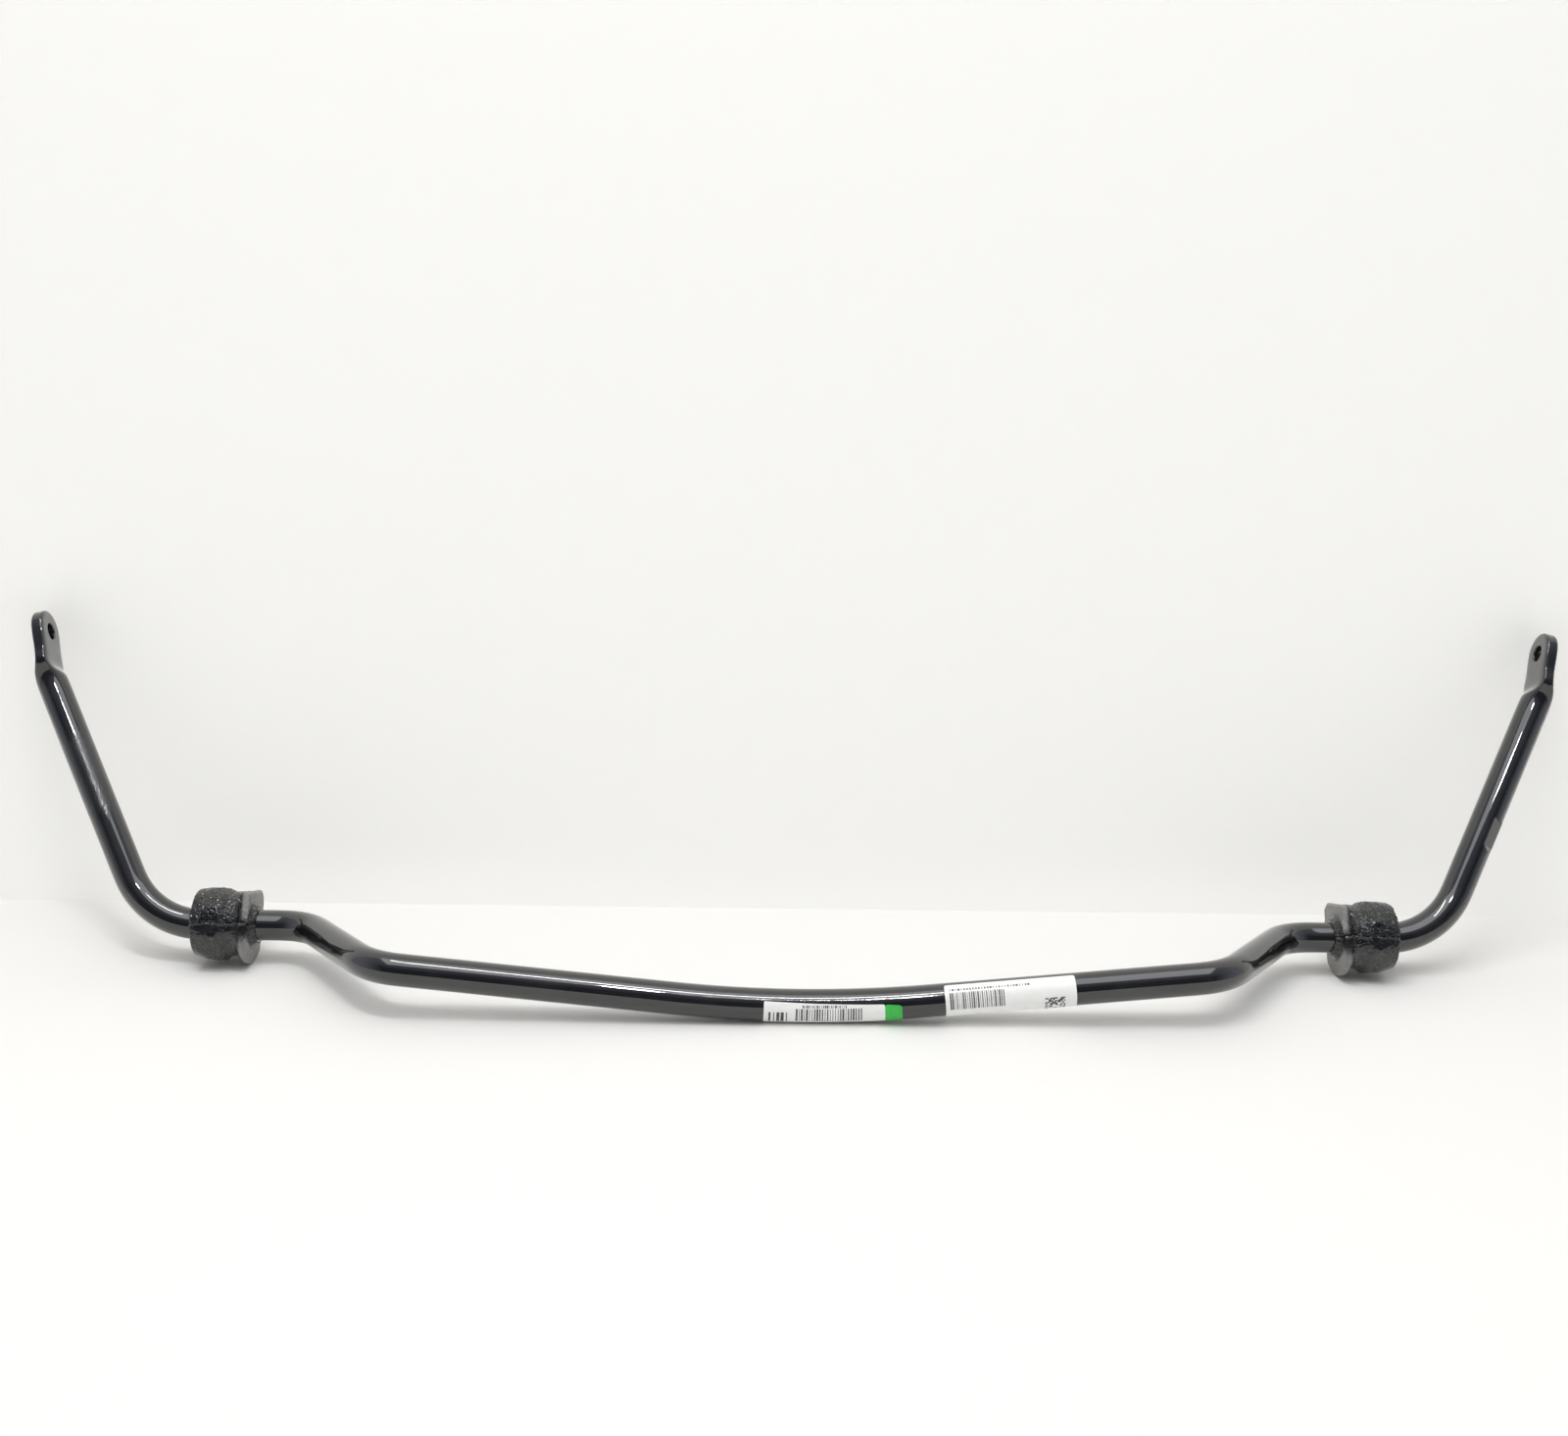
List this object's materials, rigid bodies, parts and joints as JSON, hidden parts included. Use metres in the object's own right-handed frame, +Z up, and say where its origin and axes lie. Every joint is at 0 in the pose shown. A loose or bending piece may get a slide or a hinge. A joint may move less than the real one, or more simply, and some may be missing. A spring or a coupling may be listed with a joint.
{
  "type": "sway bar",
  "caption": "Bent round anti-roll bar with a flattened eye at each arm end and split rubber bushes bonded to its journals.",
  "frame": {"origin": "under the middle of the part's box, at the height of the bench it stands on", "axes": "+X along the bar, +Y from the middle of the bar back towards the arms, +Z up as it stands on a bench on its middle and its two bushes"},
  "size_m": [1.2822, 0.2332, 0.2686],
  "materials": {
    "bar_coating": "gloss black powder coat with fine orange peel",
    "bush_rubber": "black rubber under a glossy, pebbled coat of overspray",
    "label_paper": "white coated paper with printed stripes",
    "tab_film": "bright green film"
  },
  "bodies": {
    "bar": {"stabiliser_bar": "bar_coating", "part_label": "label_paper", "colour_tab": "tab_film", "shipping_label": "label_paper"},
    "left_bush": {"left_bush_upper": "bush_rubber", "left_bush_lower": "bush_rubber"},
    "right_bush": {"right_bush_upper": "bush_rubber", "right_bush_lower": "bush_rubber"}
  },
  "joints": [
    {"name": "left_bush_twist", "type": "hinge", "parent": "bar", "child": "left_bush", "pos_m": [-0.465, -0.00378, 0.0315], "axis": [1, 0, 0], "range_deg": [-25, 25], "stiffness_Nm_per_rad": 40},
    {"name": "right_bush_twist", "type": "hinge", "parent": "bar", "child": "right_bush", "pos_m": [0.465, -0.00378, 0.0315], "axis": [1, 0, 0], "range_deg": [-25, 25], "stiffness_Nm_per_rad": 40}
  ]
}
